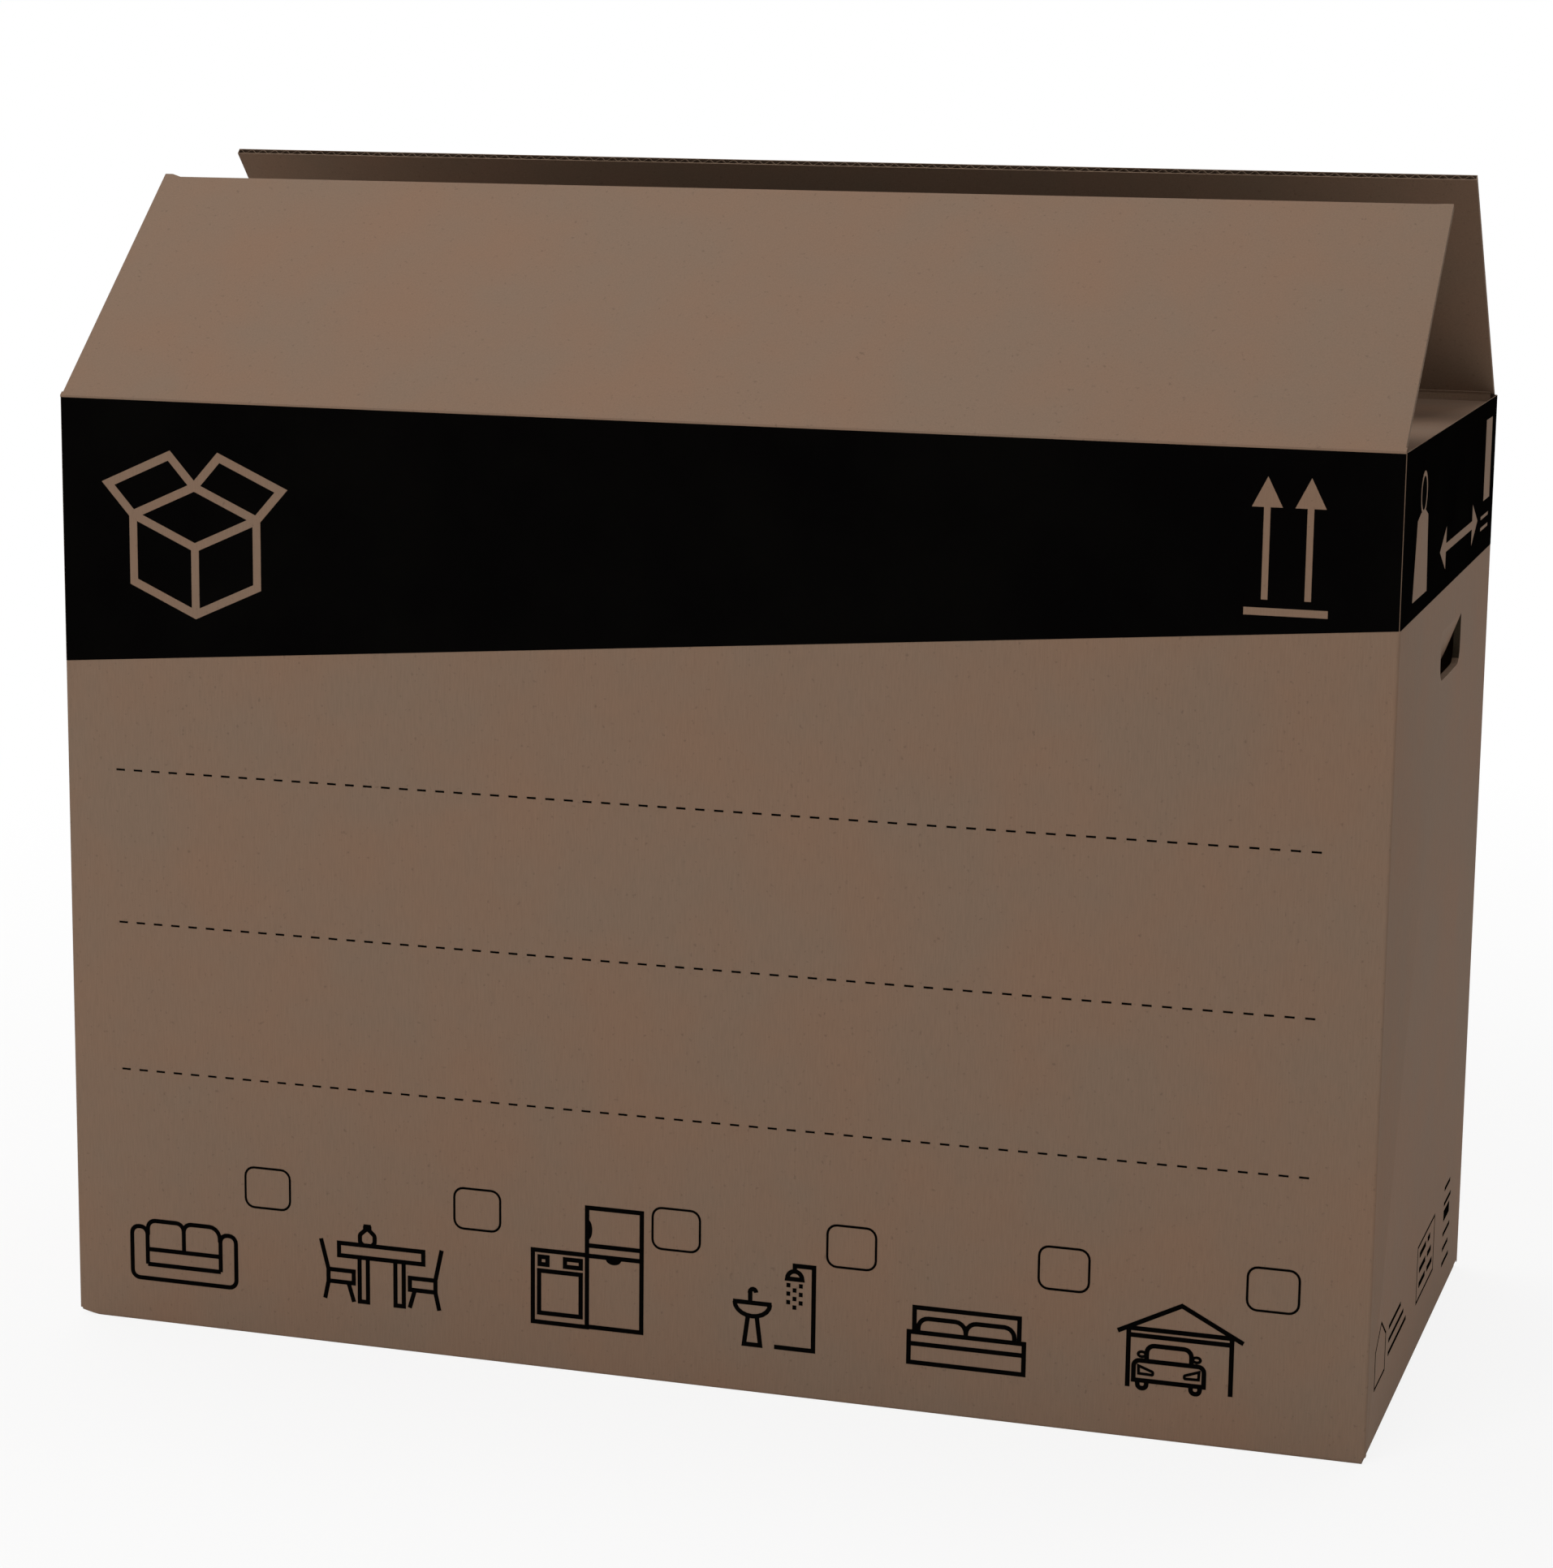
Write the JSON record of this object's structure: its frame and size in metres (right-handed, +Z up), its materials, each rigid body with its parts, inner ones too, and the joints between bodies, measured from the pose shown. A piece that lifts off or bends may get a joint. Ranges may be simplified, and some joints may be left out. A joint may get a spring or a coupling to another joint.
{
  "type": "moving box",
  "caption": "Open slotted carton of single-wall corrugated board with long top flaps leaning inwards, short flaps folded flat and hand holes.",
  "frame": {"origin": "middle of the footprint, on the floor", "axes": "+X along the front wall to the right, +Z up, front wall facing -Y"},
  "size_m": [0.8, 0.385, 0.7092],
  "materials": {
    "board_walls": "matte brown kraft liner, flexo print in black",
    "board_front_flap": "matte brown kraft liner",
    "board_back_flap": "matte brown kraft liner"
  },
  "bodies": {
    "carton": {"carton_body": "board_walls"},
    "front_flap": {"front_flap": "board_front_flap"},
    "back_flap": {"back_flap": "board_back_flap"}
  },
  "joints": [
    {"name": "front_flap_crease", "type": "hinge", "parent": "carton", "child": "front_flap", "pos_m": [0, -0.1927, 0.5702], "axis": [1, 0, 0], "range_deg": [-41, 224]},
    {"name": "back_flap_crease", "type": "hinge", "parent": "carton", "child": "back_flap", "pos_m": [0, 0.1927, 0.5702], "axis": [-1, 0, 0], "range_deg": [-46.4, 218.6]}
  ]
}
